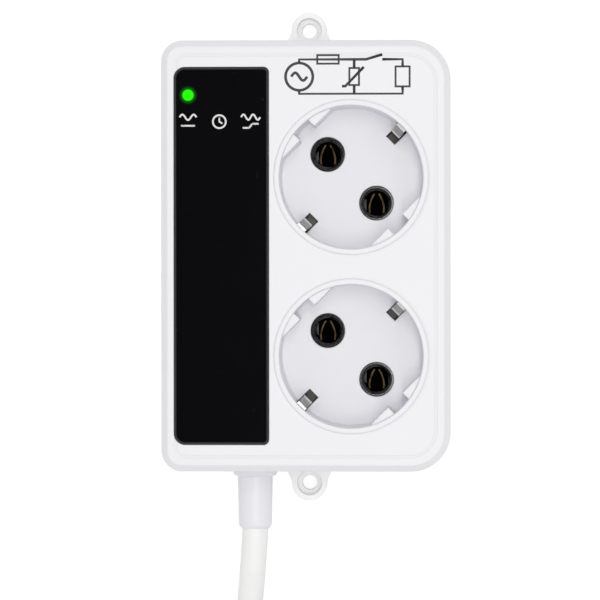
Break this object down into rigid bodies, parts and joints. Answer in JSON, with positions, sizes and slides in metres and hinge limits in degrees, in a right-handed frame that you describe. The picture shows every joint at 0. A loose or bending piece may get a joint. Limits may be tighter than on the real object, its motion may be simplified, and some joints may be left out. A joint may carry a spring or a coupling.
{
  "type": "appliance voltage protector",
  "caption": "White appliance voltage protector with earthed outlet recesses, a black indicator window, fixing ears and a cord with a plug.",
  "frame": {"origin": "middle of the housing's flat back, which lies on the surface", "axes": "+X to the right of the face, +Y up the face towards the upper ear, +Z out of the face"},
  "size_m": [0.1162, 0.3073, 0.0423],
  "materials": {
    "housing": "white satin moulding",
    "housing_back": "white satin moulding",
    "window": "black polished acrylic, dark enough to hide what is behind it",
    "light_green": "green light, lit",
    "light_amber": "amber light, unlit",
    "light_red": "red light, unlit",
    "carrier": "black moulding",
    "brass": "stamped brass",
    "steel": "plated spring steel",
    "board": "green laminate",
    "screw": "plated screws",
    "relay": "blue case",
    "film_capacitor": "yellow case",
    "black_part": "black sleeve",
    "varistor": "blue lacquer",
    "fuse": "metal caps on a pale tube",
    "terminal": "green moulding",
    "wire_brown": "brown insulation",
    "wire_blue": "blue insulation",
    "wire_green": "green and yellow insulation",
    "cord": "white jacket",
    "clamp": "white moulding",
    "gland": "white soft moulding",
    "tie": "black hook and loop strap",
    "plug": "white moulding",
    "pins": "plated brass"
  },
  "bodies": {
    "root": {"front_cover": "housing", "back_cover": "housing_back", "indicator_window": "window", "light_normal": "light_green", "light_delay": "light_amber", "light_fault": "light_red", "contact_carrier_upper": "carrier", "contact_carrier_lower": "carrier", "live_bar": "brass", "neutral_bar": "brass", "earth_bridge_upper": "steel", "earth_bridge_lower": "steel", "earth_link": "steel", "control_board": "board", "board_screws": "screw", "relay": "relay", "film_capacitor": "film_capacitor", "electrolytic_capacitor": "black_part", "varistor": "varistor", "fuse": "fuse", "rectifier": "black_part", "controller_chip": "black_part", "resistors": "black_part", "terminal_blocks": "terminal", "wire_live_in": "wire_brown", "wire_neutral_in": "wire_blue", "wire_earth": "wire_green", "wire_live_out": "wire_brown", "wire_neutral_out": "wire_blue", "cord_inner_end": "cord", "cord_clamp": "clamp", "clamp_screws": "screw", "housing_screws": "screw", "cord_gland": "gland", "cord_run": "cord", "cord_coil": "cord", "cord_tail": "cord", "coil_tie": "tie", "plug_body": "plug", "plug_pins": "pins", "plug_earth_strips": "pins"}
  },
  "joints": []
}
